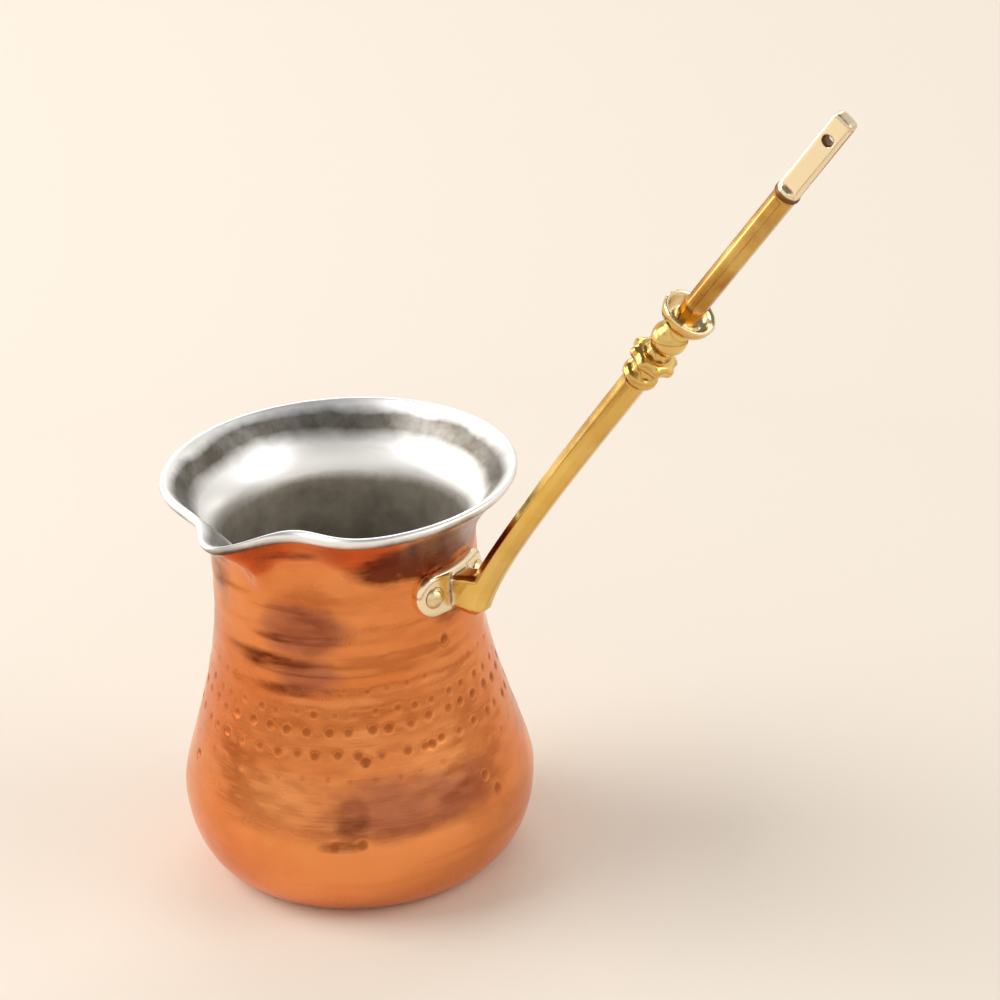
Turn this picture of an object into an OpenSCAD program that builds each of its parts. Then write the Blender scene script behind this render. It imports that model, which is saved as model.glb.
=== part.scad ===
// Cezve: a small Turkish coffee pot with a hand-raised copper body, a tinned inside and a cast
// brass handle held on the neck by two rivets. Millimetres, +Z up. The origin is the centre of
// the base's underside, the handle rises over +X, and the pouring lip points along -Y.

/* [Pot] */
// Height of the pot from base to rim
pot_h = 84; // [66:1:110]
// Diameter of the flat base
base_d = 48; // [36:1:58]
// Diameter of the belly, the widest part of the body
belly_d = 70; // [60:1:90]
// Height of the belly above the base
belly_h = 17.5; // [10:0.5:24]
// Diameter of the neck
neck_d = 52; // [40:1:58]
// Height of the straight neck
neck_len = 7; // [4:1:14]
// Height of the flare between the neck and the rim
flare_h = 15; // [10:1:22]
// Diameter across the rim, away from the pouring lip
rim_d = 70.6; // [60:0.2:86]
// Thickness of the copper
wall = 1.4; // [0.9:0.1:2.4]
// Thickness of the tin on the inside
tin = 0.3; // [0.2:0.1:0.6]

/* [Pouring lip] */
// How far the beak stands out past the rim
beak_out = 5.6; // [2:0.2:9]
// Half the angle that the beak spans at the rim
beak_half = 10; // [7:0.5:16]
// How far the rim is pinched in beside the beak, on the handle's side
pinch_in = 4.3; // [0:0.1:6]
// How far the rim is pinched in on the beak's other side
far_pinch_in = 1.2; // [0:0.2:3]
// Angle from the beak to the middle of a pinch
pinch_turn = 22; // [18:1:30]
// Half the angle that a pinch spans
pinch_half = 15; // [10:1:20]
// How far the beak's tip dips below the rim
beak_dip = 0.6; // [0:0.1:2]
// How far down from the rim the beak's crease runs
crease_h = 18; // [10:1:24]

/* [Handle] */
// How far inside the rim's edge the stem's foot stands
foot_under = 3.7; // [0:0.1:5]
// Slope of the stem where it leaves the foot, up from level
foot_tilt = 79.5; // [72:0.5:88]
// Length of the stem's steep stretch, to where its two slopes would meet
foot_run = 8; // [7:0.5:14]
// Slope of the upper handle, up from level
handle_tilt = 51.9; // [40:0.1:60]
// Length from where the two slopes would meet to the beaded ring
bend_run = 66; // [55:0.5:78]
// Length from the beaded ring to the handle's tip
upper_len = 65; // [50:1:80]
// Width of the stem at its foot
foot_w = 5.2; // [4.4:0.2:7]
// Width of the stem under the beads
stem_w = 4.8; // [4.4:0.2:7]
// Width of the stem at its waist, level with the rim
waist_w = 4.6; // [3.6:0.2:6]
// Width of the upper stem
upper_w = 4.2; // [3.6:0.2:6]

/* [Beads] */
// Diameter of the beaded ring
ring_d = 9.4; // [8:0.2:12]
// Diameter of the bulb above the ring
bulb_d = 7; // [6:0.2:8.4]
// Diameter of the saucer collar
saucer_d = 10.4; // [8.6:0.2:13]
// Distance from the ring to the saucer's edge
saucer_up = 13; // [11.5:0.5:18]

/* [Hanging tab] */
// Length of the flat tab at the handle's end
tab_len = 19; // [14:0.5:26]
// Width of the tab
tab_w = 4.2; // [4:0.2:8]
// Thickness of the tab
tab_t = 2.6; // [2:0.1:4]
// Diameter of the hanging hole
hole_d = 2.1; // [1.2:0.1:2.4]
// Distance from the tip to the middle of the hole
hole_in = 5.2; // [4:0.2:8]

/* [Saddle and rivets] */
// Distance from the rim down to the rivets
rivet_drop = 19; // [16:0.5:21]
// Length of the saddle around the neck
saddle_len = 22; // [20:0.5:26]
// Height of the saddle
saddle_h = 9; // [8:0.5:10]
// Thickness of the saddle
saddle_t = 1.8; // [1.2:0.1:2.6]
// Width of the lug between the saddle and the stem
lug_w = 6; // [5:0.2:8]
// Distance along the saddle from the lug's middle to a rivet
rivet_out = 7; // [6.4:0.1:8]
// Diameter of a rivet's shank
rivet_d = 2.4; // [2:0.1:3]
// Diameter of a rivet's head
head_d = 4.4; // [3.8:0.1:5]
// Height of a rivet's domed head
head_h = 1.2; // [0.8:0.1:1.6]
// Height of the head that is hammered up inside the pot
tail_h = 0.8; // [0.5:0.1:1.2]

/* [Hidden] */
$fn = 48;

base_r = base_d / 2;
belly_r = belly_d / 2;
neck_r = neck_d / 2;
rim_r = rim_d / 2;
edge_t = wall + tin;                     // thickness of the tinned rim
lip_z = pot_h - edge_t;                  // where the copper's outside ends, under the tinned edge
lip_r = rim_r - edge_t / 2;
flare_z = pot_h - flare_h;
neck_z = flare_z - neck_len;
crease_z = pot_h - crease_h;
rivet_z = pot_h - rivet_drop;
fit_gap = 0.03;                          // clearance between pieces that seat on each other
foot_r = max(rim_r - foot_under, neck_r + saddle_t + foot_w / 2);   // the foot clears the neck
shoulder = 0.08;                         // how softly the body turns in above the belly

// Angles round the pot, counted from the beak: close together there, wider elsewhere
near_step = 4;
far_step = 7.5;
turns = [for (a = [-48:near_step:48]) a, for (a = [52.5:far_step:307.5]) a];
n_turns = len(turns);
facet_in = cos(far_step / 2);            // a flat facet's middle over its corners, on the wide angles

// ---- The pot's outline ----

// 0 to 1, starting gently so that the belly has no sharp edge
function ease(u) = (sqrt(u * u + shoulder * shoulder) - shoulder)
    / (sqrt(1 + shoulder * shoulder) - shoulder);
function waist_r(z) = neck_r
    + (belly_r - neck_r) * (1 - sin(90 * ease((z - belly_h) / (neck_z - belly_h))));
function flare_r(z) = neck_r + (lip_r - neck_r) * (1 - cos(90 * (z - flare_z) / (lip_z - flare_z)));
function outside_r(z) = z < neck_z ? waist_r(z) : z < flare_z ? neck_r : flare_r(z);

// The outside, [radius, height] from the base's edge up to the lip
outside = [
    for (t = [0:15:75]) [base_r + (belly_r - base_r) * sin(t), belly_h * (1 - cos(t))],
    for (k = [0:8]) let (z = belly_h + (neck_z - belly_h) * k / 9) [outside_r(z), z],
    for (k = [0:1]) [neck_r, neck_z + neck_len * k / 2],
    for (k = [0:7]) let (z = flare_z + (lip_z - flare_z) * k / 7) [outside_r(z), z]
];
last = len(outside) - 1;

function unit(v) = v / norm(v);
// Direction of the outline at a point: level at the base's edge
function along(i) = i == 0 ? [1, 0]
    : unit(outside[min(i + 1, last)] - outside[i - 1]);
function inward(i) = [-along(i)[1], along(i)[0]];
function inset(t) = [for (i = [0:last]) outside[i] + t * inward(i)];

copper_inside = inset(wall);
tin_inside = inset(wall + tin);
lip_mid = outside[last] + edge_t / 2 * inward(last);
tinned_edge = [for (t = [30:30:150])
    lip_mid - edge_t / 2 * (cos(t) * inward(last) - sin(t) * along(last))];

function reversed(list) = [for (i = [len(list) - 1:-1:0]) list[i]];

// ---- The pouring lip: a beak with the rim pinched in beside it ----

function swell(a, half) = exp(-pow(a / half, 2));
function wrapped(a) = a > 180 ? a - 360 : a;
function beak(a, k) = swell(wrapped(a), beak_half * (0.4 + 0.6 * k));
function pinch(a) = swell(wrapped(a) - pinch_turn, pinch_half);
function far_pinch(a) = swell(wrapped(a) + pinch_turn, pinch_half);
function lip_share(z) = pow(max(0, min(1, (z - crease_z) / (pot_h - crease_z))), 1.4);
function lip_push(a, k) = k * ((beak_out + pinch_in * pinch(0) + far_pinch_in * far_pinch(0))
    * beak(a, k) - pinch_in * pinch(a) - far_pinch_in * far_pinch(a));
function lip_rise(a, k) = k * (0.5 * pinch(a) - beak_dip * beak(a, k));

// A point of the pot at [radius, height] p and angle a from the beak, which is at -Y
function on_pot(p, a) = let (k = lip_share(p[1]), r = p[0] + lip_push(a, k))
    [r * sin(a), -r * cos(a), p[1] + lip_rise(a, k)];

// A closed solid from rings of [radius, height], listed from the outer bottom over the top and
// down inside. The first and the last ring are filled in, as the two sides of the floor.
module rings(list) {
    n = len(list);
    points = [for (p = list, a = turns) on_pot(p, a)];
    skin = [
        for (i = [0:n - 2], j = [0:n_turns - 1])
            let (next = (j + 1) % n_turns, a = i * n_turns + j, b = i * n_turns + next)
            each [[a, a + n_turns, b + n_turns], [a, b + n_turns, b]]
    ];
    under = [for (j = [0:n_turns - 1]) j];
    floor = [for (j = [n_turns - 1:-1:0]) (n - 1) * n_turns + j];
    polyhedron(points, concat(skin, [under, floor]), convexity = 8);
}

// ---- The rivets' places, shared by the holes, the shanks and the saddle ----

module at_rivet(side) {
    turn = side * rivet_out / (neck_r + saddle_t) * 180 / PI;
    translate([0, 0, rivet_z]) rotate([0, 90, turn]) children();
}

module rivet_holes() {
    for (side = [-1, 1])
        at_rivet(side) cylinder(d = rivet_d + 2 * fit_gap, h = foot_r);
}

// ---- Copper body ----

module pot_body() {
    color("#c96a35") difference() {
        rings(concat(outside, reversed(copper_inside)));
        rivet_holes();
    }
}

// ---- Tin: wiped over the inside and over the rim's edge ----

module tin_lining() {
    color("#c9c7c2") difference() {
        rings(concat(copper_inside, [outside[last]], tinned_edge, reversed(tin_inside)));
        rivet_holes();
    }
}

// ---- Brass handle: saddle, lug, stem, beads and tab in one casting ----

foot = [foot_r, rivet_z - saddle_h / 2 + 1.2];
up_foot = [cos(foot_tilt), sin(foot_tilt)];
up_stem = [cos(handle_tilt), sin(handle_tilt)];
bend = foot + foot_run * up_foot;
ring_at = bend + bend_run * up_stem;
tab_at = upper_len - tab_len;            // from the beaded ring up to the tab

function stem_point(t) = (1 - t) * (1 - t) * foot + 2 * t * (1 - t) * bend + t * t * ring_at;
function stem_way(t) = unit((1 - t) * (bend - foot) + t * (ring_at - bend));
function stem_radius(t) = waist_w / 2
    + ((t < 0.5 ? foot_w : stem_w) - waist_w) / 2 * pow(cos(180 * t), 2);

// The stem's cross-section is an eight-sided bar, flat to the sides
stem_stations = [
    for (t = [0:1 / 14:1]) [stem_point(t), stem_way(t), stem_radius(t)],
    for (s = [8, tab_at + 1]) [ring_at + s * up_stem, up_stem, upper_w / 2]
];

module stem() {
    sides = 8;
    n = len(stem_stations);
    points = [
        for (st = stem_stations, k = [0:sides - 1])
            let (a = (k + 0.5) * 360 / sides, r = st[2] / cos(180 / sides))
            [st[0][0] - r * cos(a) * st[1][1], -r * sin(a), st[0][1] + r * cos(a) * st[1][0]]
    ];
    skin = [
        for (i = [0:n - 2], k = [0:sides - 1])
            let (a = i * sides + k, b = i * sides + (k + 1) % sides)
            each [[a, a + sides, b + sides], [a, b + sides, b]]
    ];
    bottom = [for (k = [0:sides - 1]) k];
    top = [for (k = [sides - 1:-1:0]) (n - 1) * sides + k];
    polyhedron(points, concat(skin, [bottom, top]));
}

// Places children on the upper handle's line, a distance s above the beaded ring
module on_stem(s) {
    translate([ring_at[0], 0, ring_at[1]]) rotate([0, 90 - handle_tilt, 0])
        translate([0, 0, s]) children();
}

module bead_ring(d, thick) {
    rotate_extrude() translate([d / 2 - thick / 2, 0]) circle(d = thick);
}

module beads() {
    cuff_d = stem_w + 2;
    saucer_t = 1.2;
    saucer_r = saucer_d / 2;
    saucer_h = 3;
    on_stem(-4.8) bead_ring(cuff_d, 1.8);
    on_stem(0) {
        bead_ring(ring_d, 2.8);
        cylinder(d = ring_d - 2.4, h = 2, center = true);
    }
    on_stem(saucer_up / 2 - 1) sphere(d = bulb_d);
    on_stem(saucer_up / 2) cylinder(d = upper_w + 1, h = saucer_up / 2);
    on_stem(saucer_up - saucer_h) rotate_extrude() polygon([
        [0, 0], [upper_w / 2 + 0.6, 0],
        for (t = [20:35:90]) [upper_w / 2 + (saucer_r - upper_w / 2) * sin(t), saucer_h * (1 - cos(t))],
        [saucer_r, saucer_h],
        for (t = [90:-30:30]) [upper_w / 2 + (saucer_r - saucer_t - upper_w / 2) * sin(t),
            saucer_t + (saucer_h - saucer_t) * (1 - cos(t))],
        [0, saucer_t]
    ]);
}

module tab() {
    corner = 1;
    difference() {
        on_stem(tab_at) rotate([90, 0, 0]) linear_extrude(tab_t, center = true) {
            translate([-tab_w / 2, 0]) square([tab_w, tab_len - corner]);
            translate([-tab_w / 2 + corner, 0]) square([tab_w - 2 * corner, tab_len]);
            for (side = [-1, 1])
                translate([side * (tab_w / 2 - corner), tab_len - corner]) circle(corner);
        }
        on_stem(upper_len - hole_in) rotate([90, 0, 0])
            cylinder(d = hole_d, h = 2 * tab_t, center = true);
    }
    on_stem(tab_at - 0.8) cylinder(d = upper_w + 0.6, h = 1.6);
}

// A plate bent round the neck, with round ends, lying on the copper at every height
module saddle() {
    low = rivet_z - saddle_h / 2;
    high = rivet_z + saddle_h / 2;
    heights = concat([low], [for (p = outside) if (p[1] > low + 0.01 && p[1] < high - 0.01) p[1]], [high]);
    seat = [for (z = heights) [outside_r(z) + fit_gap, z]];
    back = [for (z = heights) [max(outside_r(z), neck_r) + saddle_t, z]];
    reach = saddle_len / 2 - saddle_h / 2;
    intersection() {
        rotate_extrude() polygon(concat(seat, reversed(back)));
        translate([0, 0, rivet_z]) rotate([90, 0, 90]) linear_extrude(foot_r) {
            square([2 * reach, saddle_h], center = true);
            for (side = [-1, 1]) translate([side * reach, 0]) circle(d = saddle_h);
        }
    }
}

// The lug joins the saddle to the stem's foot
module lug() {
    low = rivet_z - saddle_h / 2 + 0.6;
    start = neck_r + saddle_t * 0.6;
    tip = foot + 7 * up_foot;
    rotate([90, 0, 0]) linear_extrude(lug_w, center = true) {
        polygon([
            [start, low], [foot[0], foot[1] - 1.5], [foot[0] + 2, foot[1]],
            tip, [tip[0] - 2.5, tip[1]], [start + 3.5, rivet_z + 2.6], [start, rivet_z + 3]
        ]);
        translate([foot[0], foot[1] + 0.8]) circle(d = 5);
    }
}

module handle() {
    color("#c9a13c") {
        difference() {
            union() {
                saddle();
                lug();
                stem();
            }
            rivet_holes();
        }
        beads();
        tab();
    }
}

// ---- Rivets: a domed head outside, a flat hammered head inside ----

module dome(d, h) {
    r = (d * d / 4 + h * h) / (2 * h);
    intersection() {
        translate([0, 0, h - r]) sphere(r);
        cylinder(d = d + 1, h = h + 1);
    }
}

module rivet(side) {
    head_at = neck_r + saddle_t + fit_gap;
    tail_at = sqrt(pow((neck_r - edge_t) * facet_in, 2) - head_d * head_d / 4) - fit_gap;
    at_rivet(side) {
        translate([0, 0, tail_at - 0.4]) cylinder(d = rivet_d, h = head_at - tail_at + 0.8);
        translate([0, 0, head_at]) dome(head_d, head_h);
        translate([0, 0, tail_at - tail_h]) cylinder(d1 = head_d - 0.8, d2 = head_d, h = tail_h);
    }
}

module rivet_left() {
    color("#d8b45a") rivet(-1);
}

module rivet_right() {
    color("#d8b45a") rivet(1);
}

pot_body();
tin_lining();
handle();
rivet_left();
rivet_right();
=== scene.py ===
"""A copper coffee pot, a cezve: raised and hammered body, tinned inside, cast brass handle, two rivets."""

import math

import bmesh
import bpy
import numpy as np
from mathutils import Matrix, Vector, noise


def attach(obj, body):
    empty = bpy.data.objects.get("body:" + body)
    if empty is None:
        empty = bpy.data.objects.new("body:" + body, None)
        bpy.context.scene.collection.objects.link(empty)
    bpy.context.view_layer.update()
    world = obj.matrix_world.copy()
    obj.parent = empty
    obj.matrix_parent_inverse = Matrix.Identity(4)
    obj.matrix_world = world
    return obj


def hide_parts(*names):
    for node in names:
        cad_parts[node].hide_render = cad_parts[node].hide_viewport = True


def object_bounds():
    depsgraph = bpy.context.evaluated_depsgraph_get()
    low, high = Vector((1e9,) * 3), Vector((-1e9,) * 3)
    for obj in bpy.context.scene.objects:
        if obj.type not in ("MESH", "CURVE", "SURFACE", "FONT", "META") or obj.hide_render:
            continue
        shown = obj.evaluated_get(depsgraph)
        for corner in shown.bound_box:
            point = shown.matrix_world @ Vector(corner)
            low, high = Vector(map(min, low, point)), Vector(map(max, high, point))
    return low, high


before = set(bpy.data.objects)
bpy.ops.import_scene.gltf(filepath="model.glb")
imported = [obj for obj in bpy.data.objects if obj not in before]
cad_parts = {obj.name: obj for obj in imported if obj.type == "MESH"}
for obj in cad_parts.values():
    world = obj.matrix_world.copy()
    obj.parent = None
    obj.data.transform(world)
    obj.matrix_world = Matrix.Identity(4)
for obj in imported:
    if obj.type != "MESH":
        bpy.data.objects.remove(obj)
cad_low, cad_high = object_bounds()
scene = bpy.context.scene


# ---- Copper body ----
# One sheet of copper about 1.4 mm thick, raised over stakes into a belly, a neck and a flared
# rim, with a beak pinched out of the rim. The smith planishes it with overlapping hammer blows
# and then punches rows of dots round the waist.

pot_h = 0.084
base_r = 0.024
belly_r = 0.035
belly_h = 0.0175
neck_r = 0.026
neck_len = 0.007
flare_h = 0.015
rim_r = 0.0353
copper_t = 0.0014
tin_t = 0.0003
edge_t = copper_t + tin_t
lip_z = pot_h - edge_t
lip_r = rim_r - edge_t / 2
flare_z = pot_h - flare_h
neck_z = flare_z - neck_len
shoulder = 0.08

beak_out, beak_half, beak_dip = 0.0056, 10, 0.0006
beak_foot = 0.4
pinch_in, far_pinch_in, pinch_lift = 0.0043, 0.0012, 0.0005
pinch_turn, pinch_half = 22, 15
crease_z = pot_h - 0.018
crease_bend = 1.4


def ease(u):
    """0 to 1, starting gently so that the belly has no sharp edge."""
    return (np.sqrt(u * u + shoulder**2) - shoulder) / (math.sqrt(1 + shoulder**2) - shoulder)


def waist_r(z):
    u = np.clip((z - belly_h) / (neck_z - belly_h), 0, 1)
    return neck_r + (belly_r - neck_r) * (1 - np.sin(math.pi / 2 * ease(u)))


def flare_r(z):
    u = np.clip((z - flare_z) / (lip_z - flare_z), 0, 1)
    return neck_r + (lip_r - neck_r) * (1 - np.cos(math.pi / 2 * u))


def outside_r(z):
    """Radius of the body's outside above the belly."""
    z = np.asarray(z, float)
    return np.where(z < flare_z, waist_r(z), flare_r(z))


def outline(turn_step, waist_heights, flare_step):
    """(radius, height) of the outside, from the base's edge up to the lip."""
    turn = np.radians(np.arange(0, 90, turn_step))
    belly = np.c_[base_r + (belly_r - base_r) * np.sin(turn), belly_h * (1 - np.cos(turn))]
    flare = np.append(np.arange(neck_z, lip_z - flare_step / 2, flare_step), lip_z)
    heights = np.concatenate([waist_heights, flare])
    return np.vstack([belly, np.c_[outside_r(heights), heights]])


def inset(points, depth):
    """The outline moved into the sheet by a depth. It leaves the base's edge level."""
    way = np.gradient(points, axis=0)
    way[0] = (1, 0)
    way /= np.linalg.norm(way, axis=1)[:, None]
    return points + depth * np.c_[-way[:, 1], way[:, 0]]


def swell(angle, half):
    return np.exp(-((angle / half) ** 2))


def on_pot(radius, height, angle):
    """Points of the pot at an angle in degrees from the beak, with the beak and pinches in the rim."""
    angle = (angle + 180) % 360 - 180
    k = np.clip((height - crease_z) / (pot_h - crease_z), 0, 1) ** crease_bend
    beak = swell(angle, beak_half * (beak_foot + (1 - beak_foot) * k))
    pinch = swell(angle - pinch_turn, pinch_half)
    far_pinch = swell(angle + pinch_turn, pinch_half)
    reach = beak_out + (pinch_in + far_pinch_in) * swell(pinch_turn, pinch_half)
    r = radius + k * (reach * beak - pinch_in * pinch - far_pinch_in * far_pinch)
    z = height + k * (pinch_lift * pinch - beak_dip * beak)
    a = np.radians(angle)
    return np.stack([r * np.sin(a), -r * np.cos(a), z + 0 * a], axis=-1)


def shell(name, rings, segments, offset=None):
    """A closed mesh from rings of (radius, height), from the outer bottom over the top and down
    inside. offset(radius, height, angle) may push the wall in or out."""
    angle = np.arange(segments) * 360 / segments
    rings = np.asarray(rings)
    r, z, a = rings[:, :1], rings[:, 1:], angle[None, :]
    if offset is not None:
        r = r + offset(np.arange(len(rings))[:, None], z, a)
    co = on_pot(r + 0 * a, z + 0 * a, a + 0 * r).reshape(-1, 3)
    n = len(rings)
    co = np.vstack([co, [[0, 0, rings[0, 1]], [0, 0, rings[-1, 1]]]])
    i, j = np.meshgrid(np.arange(n - 1), np.arange(segments), indexing="ij")
    here, beside = i * segments + j, i * segments + (j + 1) % segments
    walls = np.stack([here, beside, beside + segments, here + segments], -1).reshape(-1, 4)
    faces = [tuple(f) for f in walls.tolist()]
    for j in range(segments):
        following = (j + 1) % segments
        faces.append((n * segments, following, j))
        faces.append((n * segments + 1, (n - 1) * segments + j, (n - 1) * segments + following))
    mesh = bpy.data.meshes.new(name)
    mesh.from_pydata(co.tolist(), [], faces)
    mesh.shade_smooth()
    piece = bpy.data.objects.new(name, mesh)
    scene.collection.objects.link(piece)
    return piece


def smooth_step(x, low, high):
    u = np.clip((x - low) / (high - low), 0, 1)
    return u * u * (3 - 2 * u)


def add_attribute(mesh, name, values):
    layer = mesh.attributes.new(name, "FLOAT", "POINT")
    layer.data.foreach_set("value", np.asarray(values, np.float32))


segments = 440
ring_step, dotted_step = 0.0006, 0.0004
dotted_low, dotted_high = 0.027, 0.053
waist_heights = np.concatenate([
    np.arange(belly_h, dotted_low, ring_step),
    np.arange(dotted_low, dotted_high, dotted_step),
    np.arange(dotted_high, neck_z - ring_step / 2, ring_step),
])
copper_outside = outline(2.5, waist_heights, ring_step)
plain_waist = np.linspace(belly_h, neck_z, 9)[:-1]
copper_inside = inset(outline(15, plain_waist, 0.002), copper_t)
base_dish = np.array([(0.006, 0.0004), (0.014, 0.0003), (0.020, 0.0001)])
copper_rings = np.vstack([base_dish, copper_outside, copper_inside[::-1]])
n_outside = len(base_dish) + len(copper_outside)


ripple_depth, ripple_pitch, finer_pitch = 0.00011, 0.0064, 0.0031


def turned_ripples(ring, z, angle):
    """Soft uneven rings left by closing in the neck, which fade out towards the waist and the flare."""
    a = np.radians(angle)
    fade = smooth_step(z, 0.041, 0.050) * (1 - smooth_step(z, 0.066, 0.074))
    wander = 1.1 * np.sin(a + 0.6) + 0.7 * np.sin(3 * a + 1.0)
    depth = ripple_depth * (0.55 + 0.45 * np.sin(2 * a + 1.9 + z / 0.011))
    wave = np.sin(z / ripple_pitch * 2 * math.pi + wander)
    wave = wave + 0.35 * np.sin(z / finer_pitch * 2 * math.pi - 2.1 * wander)
    return np.where(ring < n_outside, depth * fade * wave, 0.0)


body = shell("copper_body", copper_rings, segments, turned_ripples)
ring_of = np.append(np.repeat(np.arange(len(copper_rings)), segments), [0, len(copper_rings) - 1])
height_of = copper_rings[ring_of, 1]
base_edge, turned_neck, plain_rim = (0.0005, 0.004), (0.062, 0.070), (0.076, 0.080)
hammered = (ring_of < n_outside) * smooth_step(height_of, *base_edge)
hammered = hammered * (1 - 0.65 * smooth_step(height_of, *turned_neck))
hammered = hammered * (1 - smooth_step(height_of, *plain_rim))
add_attribute(body.data, "hammered", hammered)
add_attribute(body.data, "punched", 0 * hammered)


def points_of(mesh):
    """The places of a mesh's points, one row each."""
    co = np.empty(len(mesh.vertices) * 3, np.float32)
    mesh.vertices.foreach_get("co", co)
    return co.reshape(-1, 3)


def normals_of(mesh):
    way = np.empty(len(mesh.vertices) * 3, np.float32)
    mesh.vertex_normals.foreach_get("vector", way)
    return way.reshape(-1, 3)


place = points_of(body.data)
turn_of = np.degrees(np.arctan2(place[:, 0], -place[:, 1]))


def marks(spots):
    """Soft oval marks from (angle from the beak, height, half width in degrees, half height, strength)."""
    total = np.zeros(len(place))
    for angle, height, half_turn, half_height, strength in spots:
        across = ((turn_of - angle + 180) % 360 - 180) / half_turn
        far = np.hypot(across, (place[:, 2] - height) / half_height)
        total = np.maximum(total, strength * (1 - smooth_step(far, 0.3, 1.2)))
    return total


# Painted dark reflections: soft purple-brown patches on the neck and belly.
add_attribute(body.data, "warmed", marks([
    (18, 0.0610, 25, 0.0085, 1.0), (20, 0.0520, 18, 0.0060, 0.9), (58, 0.0255, 42, 0.0080, 0.9),
    (-48, 0.0560, 18, 0.0090, 0.7), (150, 0.0300, 40, 0.0100, 0.8), (205, 0.0560, 30, 0.0090, 0.8),
    (-100, 0.0280, 36, 0.0090, 0.7)]))
# Painted shade under the rim by the handle, below the saddle and beside the beak's crease, and thin painted
# dark reflection lines round the neck, waist and belly; all near black.
add_attribute(body.data, "burnt", marks([
    (76, 0.0745, 40, 0.0070, 1.4), (112, 0.0735, 30, 0.0060, 1.2), (-32, 0.0700, 15, 0.0120, 0.5),
    (20, 0.0610, 19, 0.0070, 0.42), (88, 0.0640, 16, 0.0080, 0.9),
    (35, 0.0235, 8, 0.0070, 0.45), (0, 0.0540, 28, 0.0022, 0.65), (12, 0.0485, 24, 0.0016, 0.55),
    (6, 0.0590, 22, 0.0014, 0.45), (18, 0.0780, 14, 0.0020, 0.55), (31, 0.0190, 10, 0.0016, 0.7),
    (225, 0.0500, 30, 0.0018, 0.5), (-80, 0.0540, 24, 0.0018, 0.5)]))


def node_adder(tree):
    """A function that adds a node to a tree, with its settings and what its sockets hold or are
    wired to. Sockets are named, with _ for a space, or numbered, as in i0."""
    def add(kind, settings=None, **sockets):
        node = tree.nodes.new(kind)
        for key, value in (settings or {}).items():
            setattr(node, key, value)
        for key, value in sockets.items():
            numbered = key[0] == "i" and key[1:].isdigit()
            socket = node.inputs[int(key[1:]) if numbered else key.replace("_", " ")]
            if isinstance(value, bpy.types.NodeSocket):
                tree.links.new(value, socket)
            else:
                socket.default_value = value
        return node

    return add


def new_tree(name, inputs):
    """A Geometry Nodes tree with named inputs, its node adder and what the inputs give."""
    tree = bpy.data.node_groups.new(name, "GeometryNodeTree")
    tree.is_modifier = True
    tree.interface.new_socket("Geometry", in_out="INPUT", socket_type="NodeSocketGeometry")
    for label, kind in inputs.items():
        tree.interface.new_socket(label, in_out="INPUT", socket_type=f"NodeSocket{kind}")
    tree.interface.new_socket("Geometry", in_out="OUTPUT", socket_type="NodeSocketGeometry")
    add = node_adder(tree)
    return tree, add, add("NodeGroupInput").outputs


def end_tree(add, geometry, material):
    """Makes the tree's geometry real and gives it its material."""
    real = add("GeometryNodeRealizeInstances", i0=geometry).outputs[0]
    coated = add("GeometryNodeSetMaterial", Geometry=real, Material=material).outputs[0]
    add("NodeGroupOutput", i0=coated)


def make_plain(piece):
    """Turns what the piece's modifiers make into its own mesh, and takes the modifiers off."""
    graph = bpy.context.evaluated_depsgraph_get()
    made = bpy.data.meshes.new_from_object(
        piece.evaluated_get(graph), preserve_all_data_layers=True, depsgraph=graph)
    piece.modifiers.clear()
    old = piece.data
    piece.data = made
    bpy.data.meshes.remove(old)
    made.name = piece.name


def use_tree(piece, tree, **values):
    """Puts a piece through a tree, with the tree's inputs set by identifier."""
    modifier = piece.modifiers.new(tree.name, "NODES")
    modifier.node_group = tree
    for item in tree.interface.items_tree:
        key = item.name.replace(" ", "_").lower()
        if item.in_out == "INPUT" and key in values:
            modifier[item.identifier] = values[key]
    make_plain(piece)


def maths(add, operation, first, second=0.0, clamp=False):
    settings = {"operation": operation, "use_clamp": clamp}
    return add("ShaderNodeMath", settings, i0=first, i1=second).outputs[0]


def times(add, first, *others):
    for other in others:
        first = maths(add, "MULTIPLY", first, other)
    return first


def plus(add, first, second):
    return maths(add, "ADD", first, second)


def random_value(add, low, high, seed, **extra):
    """A random number for each point, or for each number in ID."""
    float_kind = {"data_type": "FLOAT"}
    return add("FunctionNodeRandomValue", float_kind, i2=low, i3=high, Seed=seed, **extra).outputs[1]


def given_attribute(add, name):
    return add("GeometryNodeInputNamedAttribute", {"data_type": "FLOAT"}, Name=name).outputs[0]


def nearest_mark(add, marks, place=None):
    """The distance from here, or from a place, to the nearest mark, and that mark's number."""
    near = add("GeometryNodeProximity", {"target_element": "POINTS"}, i0=marks)
    which = add("GeometryNodeSampleNearest", {"domain": "POINT"}, i0=marks)
    if place is not None:
        near.id_data.links.new(place, near.inputs["Sample Position"])
        which.id_data.links.new(place, which.inputs[1])
    return near.outputs["Distance"], which.outputs[0]


def dish_shape(add, near, reach):
    """A round dish: 1 in its middle, 0 from its reach outwards, with no edge."""
    share = maths(add, "DIVIDE", near, reach, clamp=True)
    hump = maths(add, "SUBTRACT", 1.0, times(add, share, share))
    return times(add, hump, hump)


def sink(add, geometry, depth):
    """Pushes the surface inwards by a depth."""
    inward = add("ShaderNodeVectorMath", {"operation": "SCALE"}, i0=add("GeometryNodeInputNormal").outputs[0],
                 Scale=times(add, depth, -1.0)).outputs[0]
    return add("GeometryNodeSetPosition", Geometry=geometry, Offset=inward).outputs[0]


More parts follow.
